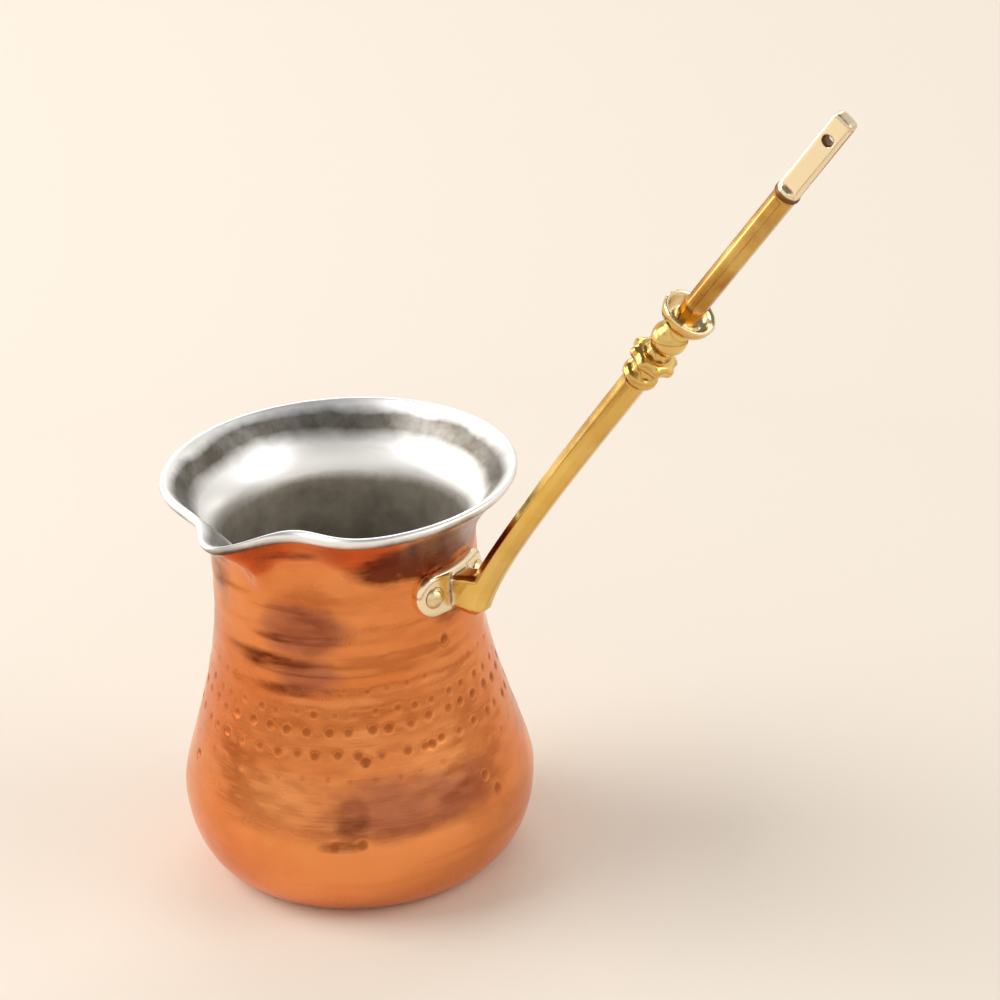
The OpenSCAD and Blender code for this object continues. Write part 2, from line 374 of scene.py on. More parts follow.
def hammer_marks():
    """Blows scattered over the sheet; each leaves a shallow dish that ends where the next begins."""
    tree, add, given = new_tree("hammer_marks", {
        "Spacing": "Float", "Flatness": "Float", "Depth": "Float", "Seed": "Int", "Material": "Material"})
    squeeze = add("ShaderNodeCombineXYZ", X=1.0, Y=1.0, Z=given["Flatness"]).outputs[0]
    tall = add("GeometryNodeTransform", Geometry=given["Geometry"], Scale=squeeze).outputs[0]
    blows = add("GeometryNodeDistributePointsOnFaces", {"distribute_method": "POISSON"},
                Mesh=tall, Distance_Min=given["Spacing"], Density_Max=400000.0,
                Seed=given["Seed"]).outputs["Points"]
    here = add("ShaderNodeVectorMath", {"operation": "MULTIPLY"},
               i0=add("GeometryNodeInputPosition").outputs[0], i1=squeeze).outputs[0]
    near, blow = nearest_mark(add, blows, here)
    dish = dish_shape(add, near, times(add, given["Spacing"], 0.85))
    force = random_value(add, 0.85, 1.1, given["Seed"], ID=blow)
    where = given_attribute(add, "hammered")
    sunk = times(add, times(add, dish, force), times(add, given["Depth"], where))
    eased = add("GeometryNodeBlurAttribute", {"data_type": "FLOAT"}, i0=sunk, Iterations=4).outputs[0]
    end_tree(add, sink(add, given["Geometry"], eased), given["Material"])
    return tree


outside_all, deepest_dot = 0.1, 0.00028


def punched_row():
    """A row of round dents at one height. Each is found on the surface from outside, so the row
    follows the body, and the marks are kept in the punched attribute."""
    tree, add, given = new_tree("punched_row", {
        "Height": "Float", "Dots": "Int", "First turn": "Float", "Width": "Float", "Depth": "Float",
        "Slip": "Float", "Unevenness": "Float", "Seed": "Int", "Material": "Material"})
    dots = add("GeometryNodePoints", Count=given["Dots"]).outputs[0]
    slip = random_value(add, -1.0, 1.0, given["Seed"])
    lift = random_value(add, -1.0, 1.0, plus(add, given["Seed"], 11.0))
    step = maths(add, "DIVIDE", 2 * math.pi, given["Dots"])
    even = plus(add, given["First turn"], times(add, add("GeometryNodeInputIndex").outputs[0], step))
    turn = plus(add, even, times(add, slip, given["Slip"]))
    sine, cosine = maths(add, "SINE", turn), maths(add, "COSINE", turn)
    level = plus(add, given["Height"], times(add, lift, given["Unevenness"]))
    start = add("ShaderNodeCombineXYZ", X=times(add, sine, outside_all), Y=times(add, cosine, -outside_all),
                Z=level).outputs[0]
    way = add("ShaderNodeCombineXYZ", X=times(add, sine, -1.0), Y=cosine, Z=0.0).outputs[0]
    ray = add("GeometryNodeRaycast", Target_Geometry=given["Geometry"],
              Source_Position=start, Ray_Direction=way, Ray_Length=outside_all)
    seated = add("GeometryNodeSetPosition", Geometry=dots, Position=ray.outputs["Hit Position"]).outputs[0]
    near, dot = nearest_mark(add, seated)
    force = random_value(add, 0.45, 1.1, plus(add, given["Seed"], 5.0), ID=dot)
    dent = times(add, dish_shape(add, near, times(add, given["Width"], 0.5)), force)
    share_deep = maths(add, "DIVIDE", given["Depth"], deepest_dot, clamp=True)
    mark = maths(add, "MAXIMUM", given_attribute(add, "punched"), times(add, dent, share_deep))
    marked = add("GeometryNodeStoreNamedAttribute", {"data_type": "FLOAT", "domain": "POINT"},
                 Geometry=given["Geometry"], Name="punched", Value=mark).outputs[0]
    end_tree(add, sink(add, marked, times(add, dent, given["Depth"])), given["Material"])
    return tree


def new_metal(name):
    """A metal material: the material, its shader's sockets, its node adder and its links."""
    material = bpy.data.materials.new(name)
    material.use_nodes = True
    shader = material.node_tree.nodes["Principled BSDF"].inputs
    shader["Metallic"].default_value = 1.0
    return material, shader, node_adder(material.node_tree), material.node_tree.links


def patches(add, scale, detail=3.0, rough=0.5, stretch=(1, 1, 1), offset=(0, 0, 0)):
    """Soft cloudy patches on the object's own coordinates."""
    at = add("ShaderNodeTexCoord").outputs["Object"]
    placed = add("ShaderNodeMapping", Vector=at, Scale=stretch, Location=offset).outputs[0]
    return add("ShaderNodeTexNoise", Vector=placed, Scale=scale, Detail=detail, Roughness=rough).outputs[0]


def ramp(add, share, *stops):
    """Runs through (place, colour) or (place, number) stops."""
    node = add("ShaderNodeValToRGB", i0=share)
    elements = node.color_ramp.elements
    while len(elements) < len(stops):
        elements.new(0.5)
    for element, (place, shade) in zip(elements, stops):
        element.position = place
        element.color = (*shade, 1) if isinstance(shade, tuple) else (shade, shade, shade, 1)
    return node.outputs[0]


def blend(add, share, first, second):
    """The first colour where share is 0 and the second where it is 1."""
    first, second = ((*c, 1) if isinstance(c, tuple) else c for c in (first, second))
    return add("ShaderNodeMix", {"data_type": "RGBA"}, i0=share, i6=first, i7=second).outputs[2]


def mark_of(add, name):
    """What one of the mesh's attributes holds at each place."""
    return add("ShaderNodeAttribute", {"attribute_name": name}).outputs["Fac"]


def bump(add, height, strength, distance=0.00008, **under):
    return add("ShaderNodeBump", Strength=strength, Distance=distance, Height=height, **under).outputs[0]


def polished_copper():
    bright, deep, dark_reflection_tint = (0.86, 0.32, 0.105), (0.68, 0.19, 0.048), (0.38, 0.115, 0.065)
    burnt, pitted = (0.13, 0.018, 0.006), (0.36, 0.09, 0.02)
    material, shader, add, links = new_metal("polished_copper")
    colour = ramp(add, patches(add, 28, 4, 0.55), (0.30, deep), (0.60, bright))

    cloudy = patches(add, 75, 6, 0.65, stretch=(1, 1, 2.2), offset=(0.31, 0.12, 0.05))
    cloudy = times(add, maths(add, "SUBTRACT", cloudy, 0.5), 1.3)
    # Painted dark reflections: the marks, made cloudy, blend the copper towards a purple-brown tint.
    dark_reflection_share = ramp(add, plus(add, mark_of(add, "warmed"), cloudy), (0.2, 0), (0.85, 1))
    colour = blend(add, times(add, dark_reflection_share, 0.75), colour, dark_reflection_tint)

    streaky = patches(add, 15, 3, 0.55, stretch=(1, 1, 17), offset=(0.02, 0.05, 0))
    streaks = ramp(add, streaky, (0.54, 0), (0.66, 1))
    colour = blend(add, times(add, streaks, 0.4), colour, deep)

    # Painted shade and painted dark reflection lines, with ragged edges, blended towards near black.
    shade_and_reflection_mark = mark_of(add, "burnt")
    ragged = maths(add, "SUBTRACT", patches(add, 110, 3.5, 0.6, stretch=(1, 1, 2.6)), 0.5)
    shade_and_reflection_share = ramp(add, plus(add, shade_and_reflection_mark, times(add, ragged, 3.0, shade_and_reflection_mark)), (0.15, 0), (0.85, 1))
    colour = blend(add, times(add, shade_and_reflection_share, 0.92), colour, burnt)

    soot = ramp(add, mark_of(add, "punched"), (0.03, 0), (0.30, 0.75), (0.95, 1))
    colour = blend(add, times(add, soot, 0.85), colour, pitted)
    links.new(colour, shader["Base Color"])

    wear = ramp(add, patches(add, 90, 5, 0.6), (0.3, 0.18), (0.7, 0.31))
    links.new(plus(add, wear, times(add, soot, 0.25)), shader["Roughness"])
    scratches = times(add, patches(add, 60, 4, 0.6, stretch=(1, 1, 26)), 0.7)
    fine = bump(add, plus(add, scratches, times(add, patches(add, 280, 2, 0.5), 0.3)), 0.35)
    planished = patches(add, 130, 1.5, 0.5, stretch=(1, 1, 2.0), offset=(0.1, 0.2, 0))
    links.new(bump(add, planished, 0.5, 0.00025, Normal=fine), shader["Normal"])
    return material


copper = polished_copper()
dents = punched_row()
rows = [  # height, dots, first angle, width, depth
    (0.0411, 44, 0.05, 0.0025, 0.00028),
    (0.0362, 44, 0.12, 0.0024, 0.00022),
    (0.0444, 44, 0.10, 0.0022, 0.00016),
    (0.0487, 42, 0.02, 0.0019, 0.00008),
    (0.0315, 42, 0.16, 0.0019, 0.00006),
]
use_tree(body, hammer_marks(), spacing=0.0058, flatness=1.9, depth=0.00008, seed=4, material=copper)
for k, (height, dots, first, width, depth) in enumerate(rows):
    use_tree(body, dents, height=height, dots=dots, first_turn=first, width=width, depth=depth,
             slip=0.022, unevenness=0.0004, seed=20 + k, material=copper)
stray_punches = [  # angle from the beak, height
    (82, 0.0545), (67, 0.0358), (41, 0.0350), (86, 0.0260), (-37, 0.0276), (90, 0.0222), (38, 0.0195),
    (29, 0.0190), (150, 0.0520), (-120, 0.0250), (200, 0.0460), (-75, 0.0540)]
for k, (turn, height) in enumerate(stray_punches):
    use_tree(body, dents, height=height, dots=1, first_turn=math.radians(turn), width=0.0027, depth=0.00042,
             slip=0.0, unevenness=0.0, seed=60 + k, material=copper)
body.data.shade_smooth()
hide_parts("pot_body")
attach(body, "root")


# ---- Tin lining ----
# Molten tin wiped over the inside with a rag, so that copper never touches the coffee. It runs
# over the rim's edge and a little way down the outside. Low in the belly it is painted dark as shade.

tin_segments = 360
tin_outside = outline(6, np.arange(belly_h, neck_z - 0.0005, 0.001), 0.0008)
tin_face = inset(tin_outside, edge_t)
tin_back = copper_inside
lip_way = tin_outside[-1] - tin_outside[-2]
lip_way /= np.linalg.norm(lip_way)
lip_in = np.array([-lip_way[1], lip_way[0]])
lip_mid = tin_outside[-1] + edge_t / 2 * lip_in
round_edge = [lip_mid + edge_t / 2 * (math.cos(t) * lip_in + math.sin(t) * lip_way)
              for t in np.radians(np.arange(0, 181, 15))]
spill_t, spill_down = 0.00012, 0.0011
spill = [tin_outside[-1] - lip_in * spill_t * out - lip_way * spill_down * down
         for out, down in ((0.9, 0.3), (1, 0.75), (0.6, 0.95), (-1.5, 1.0), (-1.5, 0.2))]
floor_rings = [(f * tin_face[0, 0], tin_face[0, 1]) for f in (0.3, 0.6, 0.85)]
tin_rings = np.vstack([floor_rings, tin_face, round_edge[1:], spill, tin_back[::-1]])
lining = shell("tin_lining_wiped", tin_rings[::-1], tin_segments)
# The painted shade inside the pot reaches up to about the first of these heights.
shade_top, rim_top = 0.051, 0.085


def wiped_tin():
    clean, dull = (0.95, 0.94, 0.92), (0.74, 0.72, 0.69)
    shade_pale, dark = (0.60, 0.55, 0.47), (0.36, 0.32, 0.26)
    tarnished = (0.13, 0.115, 0.09)
    material, shader, add, links = new_metal("wiped_tin")
    height = add("ShaderNodeSeparateXYZ", i0=add("ShaderNodeTexCoord").outputs["Object"]).outputs[2]
    wander = times(add, maths(add, "SUBTRACT", patches(add, 60, 4, 0.6), 0.5), 0.0035)
    up_neck = add("ShaderNodeMapRange", i0=plus(add, height, wander), i1=shade_top, i2=rim_top).outputs[0]

    smears = patches(add, 45, 5, 0.6, stretch=(1, 1, 3.5))
    cloudy = ramp(add, smears, (0.30, dull), (0.5, clean))
    # Painted shade: low in the pot the lining turns a dark mottled colour, standing for the shaded inside of
    # the belly.
    shaded_belly = ramp(add, patches(add, 120, 5, 0.65), (0.3, dark), (0.7, shade_pale))
    colour = blend(add, ramp(add, up_neck, (0.56, 0), (0.62, 1)), shaded_belly, cloudy)
    tarnish = ramp(add, up_neck, (0.76, 0), (0.84, 1), (0.90, 1), (0.945, 0))
    uneven = times(add, tarnish, ramp(add, patches(add, 130, 4, 0.65), (0.3, 0.82), (0.6, 1)))
    links.new(blend(add, uneven, colour, tarnished), shader["Base Color"])

    wiped = ramp(add, smears, (0.3, 0.48), (0.7, 0.34))
    crusted = ramp(add, up_neck, (0.54, 0.25), (0.62, 0.0))
    links.new(plus(add, wiped, crusted), shader["Roughness"])
    texture = plus(add, patches(add, 220, 4, 0.6), patches(add, 60, 3, 0.5, stretch=(1, 1, 6)))
    links.new(bump(add, texture, 0.4, 0.0001), shader["Normal"])
    return material


lining.data.materials.append(wiped_tin())
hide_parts("tin_lining")
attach(lining, "root")


# ---- Brass handle ----
# One sand casting in yellow brass, filed to eight flats and polished: a saddle bent to the neck,
# a lug, the stem with its turned beads, and a flat tab with a hole to hang the pot by.

saddle_len, saddle_h, saddle_t = 0.022, 0.009, 0.0018
rivet_z = pot_h - 0.019
rivet_out = 0.007
lug_w = 0.006
foot_w, stem_w, waist_w, upper_w = 0.0052, 0.0048, 0.0046, 0.0042
foot_tilt, handle_tilt = math.radians(79.5), math.radians(51.9)
foot_run, bend_run, upper_len = 0.008, 0.066, 0.065
tab_len, tab_w, tab_t = 0.019, 0.0042, 0.0026
hole_d, hole_in = 0.0021, 0.0052
saucer_up = 0.013
foot = Vector((max(rim_r - 0.0037, neck_r + saddle_t + foot_w / 2), 0, rivet_z - saddle_h / 2 + 0.0012))
up_foot = Vector((math.cos(foot_tilt), 0, math.sin(foot_tilt)))
up_stem = Vector((math.cos(handle_tilt), 0, math.sin(handle_tilt)))
bend = foot + foot_run * up_foot
ring_at = bend + bend_run * up_stem
side = Vector((0, 1, 0))
casting = bmesh.new()


def loft(sections):
    """A closed skin over rings of points."""
    loops = [[casting.verts.new(p) for p in section] for section in sections]
    n = len(loops[0])
    for low, high in zip(loops, loops[1:]):
        for k in range(n):
            casting.faces.new((low[k], low[(k + 1) % n], high[(k + 1) % n], high[k]))
    casting.faces.new(loops[0][::-1])
    casting.faces.new(loops[-1])


def eight_sided(at, way, radius):
    """The stem's cross-section: eight flats, two of them facing sideways."""
    over = side.cross(way)
    r = radius / math.cos(math.pi / 8)
    return [at + r * (math.cos(a) * over + math.sin(a) * side)
            for a in (math.pi / 8 + k * math.pi / 4 for k in range(8))]


def stem():
    sections = []
    for k in range(41):
        t = k / 40
        at = (1 - t) ** 2 * foot + 2 * t * (1 - t) * bend + t * t * ring_at
        way = ((1 - t) * (bend - foot) + t * (ring_at - bend)).normalized()
        end_w = foot_w if t < 0.5 else stem_w
        radius = waist_w / 2 + (end_w - waist_w) / 2 * math.cos(math.pi * t) ** 2
        sections.append(eight_sided(at, way, radius))
    above_ring, in_tab = 0.004, 0.001
    for s in np.linspace(above_ring, upper_len - tab_len + in_tab, 16).tolist():
        sections.append(eight_sided(ring_at + s * up_stem, up_stem, upper_w / 2))
    loft(sections)


def turned(profile, sides=64):
    """A turned shape round the upper handle's line, from (radius, distance above the ring)."""
    over = side.cross(up_stem)
    loft([[ring_at + float(s) * up_stem + float(r) * (math.cos(a) * over + math.sin(a) * side)
           for a in (2 * math.pi * k / sides for k in range(sides))] for r, s in profile])


def beads():
    """Up the handle: a cuff, the ring that carries the knobs, a bulb, the saucer and a thin collar."""
    cuff_r, cuff_t, cuff_at = stem_w / 2 + 0.0002, 0.0009, -0.0048
    ring_r, ring_t = 0.0031, 0.0011
    for r, t, at, reach in ((cuff_r, cuff_t, cuff_at, range(-100, 101, 20)),
                            (ring_r, ring_t, 0, range(-75, 76, 15))):
        turned([(r + t * math.cos(a), at + 1.3 * t * math.sin(a)) for a in map(math.radians, reach)])

    bulb_r, bulb_at = 0.0034, saucer_up / 2 - 0.0008
    turned([(bulb_r * math.cos(t), bulb_at + bulb_r * math.sin(t))
            for t in np.radians(np.arange(-70, 61, 10))])
    sleeve_r = upper_w / 2 + 0.0004
    turned([(sleeve_r, 0.0035), (sleeve_r, saucer_up - 0.0015)])

    lip_r, lip_t, cup_h, core_r = 0.0052, 0.0010, 0.0034, 0.0015
    throat_r = upper_w / 2 + 0.0005
    under = [(throat_r + (lip_r - throat_r) * math.sin(t), saucer_up - cup_h * math.cos(t))
             for t in np.radians(np.arange(0, 91, 10))]
    over = [(r - lip_t * (0.75 + 0.25 * k / 8), min(z + lip_t * 0.9, saucer_up))
            for k, (r, z) in enumerate(under[:0:-1])]
    turned([(core_r, under[0][1])] + under + [(lip_r - 0.0002, saucer_up + 0.0003)] + over
           + [(core_r, over[-1][1])])

    collar_r, step_at = upper_w / 2 + 0.00035, upper_len - tab_len
    turned([(0.0012, step_at - 0.0009), (collar_r, step_at - 0.0007), (collar_r, step_at + 0.0002),
            (0.0012, step_at + 0.0006)])


def knob_ring():
    """Little cast knobs standing round the ring."""
    tree, add, given = new_tree("knob_ring", {
        "Count": "Int", "Ring radius": "Float", "Knob radius": "Float", "Material": "Material"})
    circle = add("GeometryNodeMeshCircle", Vertices=given["Count"], Radius=given["Ring radius"]).outputs[0]
    ball = add("GeometryNodeMeshIcoSphere", Radius=given["Knob radius"], Subdivisions=3).outputs[0]
    knobs = add("GeometryNodeInstanceOnPoints", Points=circle, Instance=ball).outputs[0]
    end_tree(add, knobs, given["Material"])
    return tree


def tab():
    """The flat end, with rounded corners and its two faces' edges eased by the file."""
    corner, eased = 0.0009, 0.00025
    start, half = upper_len - tab_len - 0.0004, tab_w / 2
    over = side.cross(up_stem)
    near_x, far_x, top = half - corner, -half + corner, upper_len - corner
    edge = [(-half, start), (half, start), (half, top)]
    edge += [(near_x + corner * math.cos(t), top + corner * math.sin(t)) for t in np.radians((30, 60, 90))]
    edge += [(far_x - corner * math.sin(t), top + corner * math.cos(t)) for t in np.radians((0, 30, 60, 90))]
    sections = []
    for y, shrink in ((-1, eased), (-0.8, 0), (0.8, 0), (1, eased)):
        sections.append([ring_at + float(s) * up_stem + float(n) * (1 - shrink / half) * over
                         + y * tab_t / 2 * side for n, s in edge])
    loft(sections)


def saddle():
    """A plate with round ends, laid on the neck: it is drawn flat, as (around, up), and bent round."""
    reach = (saddle_len - saddle_h) / 2

    def stadium(shrink, out):
        r = saddle_h / 2 - shrink
        flat = [(s, -r) for s in np.linspace(-reach, reach, 14)]
        flat += [(reach + r * math.sin(t), -r * math.cos(t)) for t in np.radians(np.arange(15, 166, 15))]
        flat += [(s, r) for s in np.linspace(reach, -reach, 14)]
        flat += [(-reach - r * math.sin(t), r * math.cos(t)) for t in np.radians(np.arange(15, 166, 15))]
        points = []
        for s, up in flat:
            z = rivet_z + up
            radius = max(float(outside_r(z)), neck_r) + out
            turn = s / (neck_r + saddle_t)
            points.append((radius * math.cos(turn), radius * math.sin(turn), z))
        return points

    almost_half = saddle_h / 2 - 0.0002
    seat, back = -0.0002, saddle_t
    loft([stadium(shrink, out) for shrink, out in (
        (almost_half, seat), (saddle_h * 0.3, seat), (0, seat), (0, back * 0.45), (0.0003, back * 0.85),
        (0.0009, back), (0.0022, back), (almost_half, back))])


def lug():
    """The web between the saddle and the stem's foot, thickest at the saddle."""
    low = rivet_z - saddle_h / 2 + 0.0006
    start = neck_r + saddle_t * 0.4
    tip = foot + 0.007 * up_foot
    edge = [(start, low), (foot.x - 0.001, foot.z - 0.0014), (foot.x + 0.0008, foot.z - 0.0015),
            (foot.x + 0.0024, foot.z - 0.0003), (tip.x + 0.0012, tip.z), (tip.x - 0.0014, tip.z),
            (start, rivet_z + 0.0030)]
    sections = []
    for y, shrink in ((-1, 0.75), (-0.75, 0.97), (0.75, 0.97), (1, 0.75)):
        middle = Vector((foot.x - 0.002, 0, rivet_z))
        sections.append([middle + shrink * (Vector((x, 0, z)) - middle) + y * lug_w / 2 * side
                         * (1 if x < foot.x - 0.002 else foot_w / lug_w) for x, z in edge])
    loft(sections)


def cast_brass():
    gold, pale, pale_reflection_colour = (0.76, 0.47, 0.105), (0.86, 0.62, 0.22), (0.95, 0.83, 0.60)
    amber, hollow_shade_brown = (0.36, 0.15, 0.022), (0.15, 0.05, 0.014)
    material, shader, add, links = new_metal("cast_brass")
    colour = ramp(add, patches(add, 70, 4, 0.55), (0.35, gold), (0.7, pale))
    drift = ramp(add, patches(add, 35, 3, 0.5, offset=(0.1, 0.3, 0)), (0.45, 0), (0.65, 1))
    colour = blend(add, times(add, drift, 0.5), colour, amber)
    uneven = ramp(add, patches(add, 90, 5, 0.6, offset=(0.4, 0.1, 0)), (0.35, 0.35), (0.65, 1))
    # Darker, uneven amber above the saucer.
    colour = blend(add, times(add, mark_of(add, "aged"), uneven, 0.9), colour, amber)
    # Painted pale reflection: the tab, the saddle and the saucer's upward-facing inside turn near white.
    colour = blend(add, times(add, mark_of(add, "rubbed"), 0.85), colour, pale_reflection_colour)
    # Painted shade: dark brown in the casting's hollows, at the step and in the hole; the tip is darker too.
    hollow_shade = ramp(add, mark_of(add, "hollow"), (0.2, 0), (0.6, 1))
    links.new(blend(add, times(add, hollow_shade, 0.9), colour, hollow_shade_brown), shader["Base Color"])
    wear = ramp(add, patches(add, 140, 5, 0.6), (0.3, 0.12), (0.7, 0.26))
    links.new(plus(add, wear, times(add, hollow_shade, 0.3)), shader["Roughness"])
    links.new(bump(add, patches(add, 150, 2, 0.5), 0.14), shader["Normal"])
    return material


brass = cast_brass()
stem()
beads()
tab()
saddle()
lug()
knobs = bpy.data.objects.new("knobs", bpy.data.meshes.new("knobs"))
scene.collection.objects.link(knobs)
use_tree(knobs, knob_ring(), count=8, ring_radius=0.0035, knob_radius=0.00125, material=brass)
knobs.data.transform(Matrix.Translation(ring_at) @ Matrix.Rotation(math.pi / 2 - handle_tilt, 4, "Y"))
casting.from_mesh(knobs.data)
bpy.data.objects.remove(knobs)

handle_mesh = bpy.data.meshes.new("brass_handle")
bmesh.ops.recalc_face_normals(casting, faces=casting.faces)
casting.to_mesh(handle_mesh)
casting.free()
handle = bpy.data.objects.new("brass_handle", handle_mesh)
scene.collection.objects.link(handle)


def polish(piece, rounds):
    soften = piece.modifiers.new("polished", "SMOOTH")
    soften.factor, soften.iterations = 0.5, rounds
    make_plain(piece)


def drill(piece, at, way, width, depth):
    """A round hole cut through a piece."""
    bit_mesh = bpy.data.meshes.new("bit")
    bit = bmesh.new()
    turn = way.to_track_quat("Z", "Y").to_matrix().to_4x4()
    bmesh.ops.create_cone(bit, cap_ends=True, segments=48, radius1=width / 2, radius2=width / 2, depth=depth,
                          matrix=Matrix.Translation(at) @ turn)
    bit.to_mesh(bit_mesh)
    bit.free()
    cutter = bpy.data.objects.new("bit", bit_mesh)
    scene.collection.objects.link(cutter)
    cut = piece.modifiers.new("drill", "BOOLEAN")
    cut.operation, cut.object, cut.solver = "DIFFERENCE", cutter, "EXACT"
    make_plain(piece)
    bpy.data.objects.remove(cutter)


remesh = handle.modifiers.new("one_casting", "REMESH")
remesh.mode, remesh.voxel_size = "VOXEL", 0.00023
make_plain(handle)
polish(handle, 8)
drill(handle, ring_at + (upper_len - hole_in) * up_stem, side, hole_d, 3 * tab_t)
polish(handle, 2)


def hollows(mesh, rounds=6):
    """How far each point lies in a hollow: its distance under the average of its neighbours."""
    co = points_of(mesh).astype(float)
    n = len(co)
    edges = np.empty(len(mesh.edges) * 2, np.int32)
    mesh.edges.foreach_get("vertices", edges)
    a, b = edges.reshape(-1, 2).T
    count = np.bincount(a, minlength=n) + np.bincount(b, minlength=n)
    smooth = co.copy()
    for _ in range(rounds):
        total = [np.bincount(a, smooth[b, k], n) + np.bincount(b, smooth[a, k], n) for k in range(3)]
        smooth = np.stack(total, -1) / count[:, None]
    return ((smooth - co) * normals_of(mesh)).sum(1)


spots = points_of(handle.data)
up_handle = (spots - np.array(ring_at)) @ np.array(up_stem)
step_at = upper_len - tab_len
hole_at = np.array(ring_at + (upper_len - hole_in) * up_stem)
from_hole = np.hypot(*((spots - hole_at)[:, [0, 2]]).T)
on_tab = smooth_step(up_handle, step_at - 0.0004, step_at + 0.0006)
on_saddle = 1 - smooth_step(spots[:, 0], neck_r + saddle_t, neck_r + saddle_t + 0.0012)
facing_up = smooth_step(normals_of(handle.data) @ np.array(up_stem), 0.05, 0.3)
in_saucer = (facing_up * smooth_step(up_handle, saucer_up - 0.0028, saucer_up - 0.0022)
             * (1 - smooth_step(up_handle, saucer_up + 0.0003, saucer_up + 0.0010)))
at_step = 1 - smooth_step(np.abs(up_handle - step_at + 0.0002), 0.0003, 0.0008)
at_tip = 0.3 * smooth_step(up_handle, upper_len - 0.0016, upper_len - 0.0004)
in_hole = 1 - smooth_step(from_hole, hole_d / 2, hole_d / 2 + 0.0002)
deep_hollow = 0.00012
sunk = np.clip(hollows(handle.data) / deep_hollow, 0, 1) * (1 - 0.9 * in_saucer)
# Painted shade in the hollows, at the step below the tab and in the hole; the tip is darker too.
add_attribute(handle.data, "hollow", np.maximum.reduce([sunk, 0.8 * at_step, at_tip, in_hole]))
# Painted pale reflection on the tab, the saddle and the saucer's upward-facing inside.
add_attribute(handle.data, "rubbed", np.maximum.reduce([on_tab, on_saddle, 0.8 * in_saucer]))
# Darker amber above the saucer, up to the tab.
above_saucer = smooth_step(up_handle, saucer_up, saucer_up + 0.004) * (1 - on_tab)
add_attribute(handle.data, "aged", above_saucer)
handle.data.shade_smooth()
handle.data.materials.clear()
handle.data.materials.append(brass)
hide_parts("handle")
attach(handle, "root")


# ---- Rivets ----
# Two brass rivets through the saddle, the copper and the tin. Each has a domed head outside and
# is hammered flat inside the pot.

rivet_d, head_d, head_h, tail_h = 0.0024, 0.0044, 0.0012, 0.0008
blow_depth, blows_per_m = 0.00009, 900


def hammered_brass():
    pale, gold, grey = (0.88, 0.74, 0.47), (0.80, 0.58, 0.25), (0.36, 0.27, 0.16)
    material, shader, add, links = new_metal("hammered_brass")
    colour = ramp(add, patches(add, 260, 4, 0.6), (0.35, gold), (0.65, pale))
    worn = ramp(add, patches(add, 520, 3, 0.6, offset=(0.2, 0.1, 0)), (0.55, 0), (0.7, 1))
    links.new(blend(add, times(add, worn, 0.5), colour, grey), shader["Base Color"])
    links.new(ramp(add, patches(add, 400, 4, 0.6), (0.3, 0.2), (0.7, 0.4)), shader["Roughness"])
    links.new(bump(add, patches(add, 600, 4, 0.6), 0.35), shader["Normal"])
    return material


rivet_brass = hammered_brass()


def rivet(name, node, where):
    """A lathe-turned blank, dented by the last blows, set in its hole."""
    head_at = neck_r + saddle_t + 0.00003
    tail_at = neck_r - edge_t - 0.0002
    dome_r = (head_d**2 / 4 + head_h**2) / (2 * head_h)
    spread = math.asin(head_d / 2 / dome_r)
    profile = [(head_d / 2 - 0.0004, tail_at - tail_h), (head_d / 2 - 0.0001, tail_at - tail_h * 0.75),
               (head_d / 2, tail_at - tail_h * 0.35), (head_d / 2 - 0.0002, tail_at), (rivet_d / 2, tail_at),
               (rivet_d / 2, head_at), (head_d / 2 - 0.0001, head_at)]
    profile += [(dome_r * math.sin(t), head_at + head_h - dome_r + dome_r * math.cos(t))
                for t in np.linspace(spread, 0.08, 12)]
    sides = 48
    blank = bmesh.new()
    loops = [[blank.verts.new((x, r * math.cos(a), r * math.sin(a)))
              for a in (2 * math.pi * k / sides for k in range(sides))] for r, x in profile]
    for low, high in zip(loops, loops[1:]):
        for k in range(sides):
            blank.faces.new((low[k], low[(k + 1) % sides], high[(k + 1) % sides], high[k]))
    blank.faces.new(loops[0][::-1])
    blank.faces.new(loops[-1])
    for v in blank.verts:
        if v.co.x > head_at + 0.0003 or v.co.x < tail_at - 0.0003:
            v.co.x += blow_depth * noise.noise(v.co * blows_per_m + Vector((where * 7, 0, 0)))
    turn = where * rivet_out / (neck_r + saddle_t)
    blank.transform(Matrix.Translation((0, 0, rivet_z)) @ Matrix.Rotation(turn, 4, "Z"))
    bmesh.ops.recalc_face_normals(blank, faces=blank.faces)
    mesh = bpy.data.meshes.new(name)
    blank.to_mesh(mesh)
    blank.free()
    mesh.shade_smooth()
    mesh.materials.append(rivet_brass)
    piece = bpy.data.objects.new(name, mesh)
    scene.collection.objects.link(piece)
    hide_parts(node)
    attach(piece, "root")


rivet("rivet_by_the_beak", "rivet_left", -1)
rivet("rivet_at_the_back", "rivet_right", 1)


# ---- Floor, light and camera ----
# A plain pale floor and soft studio light, seen from over the pot's right front.

def pale_floor():
    material = bpy.data.materials.new("pale_floor")
    material.use_nodes = True
    surface = material.node_tree.nodes["Principled BSDF"]
    surface.inputs["Base Color"].default_value = (0.82, 0.74, 0.64, 1)
    surface.inputs["Roughness"].default_value = 0.85
    return material


half_floor = 4.0
floor_corners = [(x * half_floor, y * half_floor, 0) for x, y in ((-1, -1), (1, -1), (1, 1), (-1, 1))]
floor_mesh = bpy.data.meshes.new("floor")
floor_mesh.from_pydata(floor_corners, [], [(0, 1, 2, 3)])
floor_mesh.materials.append(pale_floor())
floor = bpy.data.objects.new("floor", floor_mesh)
scene.collection.objects.link(floor)

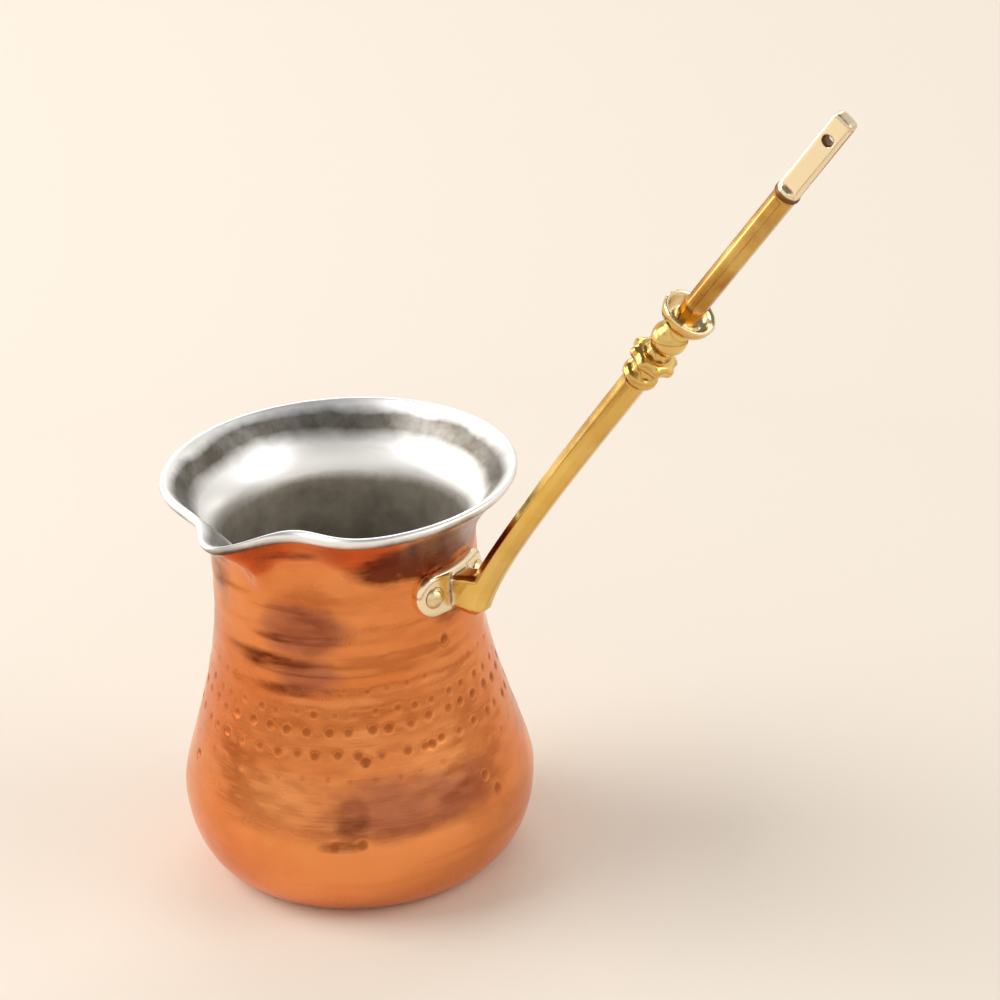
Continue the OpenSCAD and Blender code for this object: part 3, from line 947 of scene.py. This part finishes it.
world = bpy.data.worlds.new("studio")
world.use_nodes = True
sky = world.node_tree
add = node_adder(sky)
upwards = add("ShaderNodeSeparateXYZ", i0=add("ShaderNodeTexCoord").outputs["Generated"]).outputs[2]
walls = ramp(add, upwards, (0.50, (1.0, 0.97, 0.93)), (0.82, (0.22, 0.22, 0.23)))
sky.links.new(walls, sky.nodes["Background"].inputs["Color"])
sky.nodes["Background"].inputs["Strength"].default_value = 0.95
scene.world = world

middle = (cad_low + cad_high) / 2


def softbox(name, azimuth, elevation, distance, width, height, watts, tint=(1, 1, 1)):
    """An area light facing the pot. Azimuth 0 stands on the -Y side and 90 on the +X side."""
    a, e = math.radians(azimuth), math.radians(elevation)
    out = Vector((math.sin(a) * math.cos(e), -math.cos(a) * math.cos(e), math.sin(e)))
    data = bpy.data.lights.new(name, "AREA")
    data.shape, data.size, data.size_y, data.energy, data.color = "RECTANGLE", width, height, watts, tint
    lamp = bpy.data.objects.new(name, data)
    lamp.location = middle + out * distance
    lamp.rotation_mode = "QUATERNION"
    lamp.rotation_quaternion = out.to_track_quat("Z", "Y")
    scene.collection.objects.link(lamp)


softbox("left_key", -55, 45, 1.8, 1.2, 1.2, 17)
softbox("right_fill", 110, 35, 2.0, 1.2, 1.2, 9)
softbox("back_left", -150, 40, 2.2, 1.4, 1.0, 9)
softbox("low_left", -74, 11, 1.3, 1.0, 0.4, 6, (1.0, 0.93, 0.85))


def dark_strip():
    """A low dark strip round the set, seen only in the metal, which gives it its dark lines."""
    radius, height, sides = 0.24, 0.022, 96
    ring = [(radius * math.cos(2 * math.pi * k / sides), radius * math.sin(2 * math.pi * k / sides))
            for k in range(sides)]
    mesh = bpy.data.meshes.new("dark_strip")
    mesh.from_pydata([(x, y, z) for z in (0.0, height) for x, y in ring], [],
                     [(k, (k + 1) % sides, sides + (k + 1) % sides, sides + k) for k in range(sides)])
    material = bpy.data.materials.new("dark_strip")
    material.use_nodes = True
    material.node_tree.nodes["Principled BSDF"].inputs["Base Color"].default_value = (0.26, 0.13, 0.08, 1)
    material.node_tree.nodes["Principled BSDF"].inputs["Roughness"].default_value = 1.0
    mesh.materials.append(material)
    strip = bpy.data.objects.new("dark_strip", mesh)
    strip.visible_camera = strip.visible_diffuse = strip.visible_shadow = False
    scene.collection.objects.link(strip)


dark_strip()

camera_at = Vector((0.4000, -0.4966, 0.3714))
roll = math.radians(-3.0)
forward = (middle - camera_at).normalized()
level = forward.cross(Vector((0, 0, 1))).normalized()
upright = level.cross(forward)
right = math.cos(roll) * level + math.sin(roll) * upright
up = right.cross(forward)
camera_data = bpy.data.cameras.new("camera")
camera_data.lens, camera_data.sensor_width = 130, 36
camera_data.clip_start, camera_data.clip_end = 0.02, 20
camera = bpy.data.objects.new("camera", camera_data)
camera.matrix_world = Matrix((right, up, -forward)).transposed().to_4x4()
camera.location = camera_at
scene.collection.objects.link(camera)
scene.camera = camera
scene.view_settings.view_transform = "Standard"
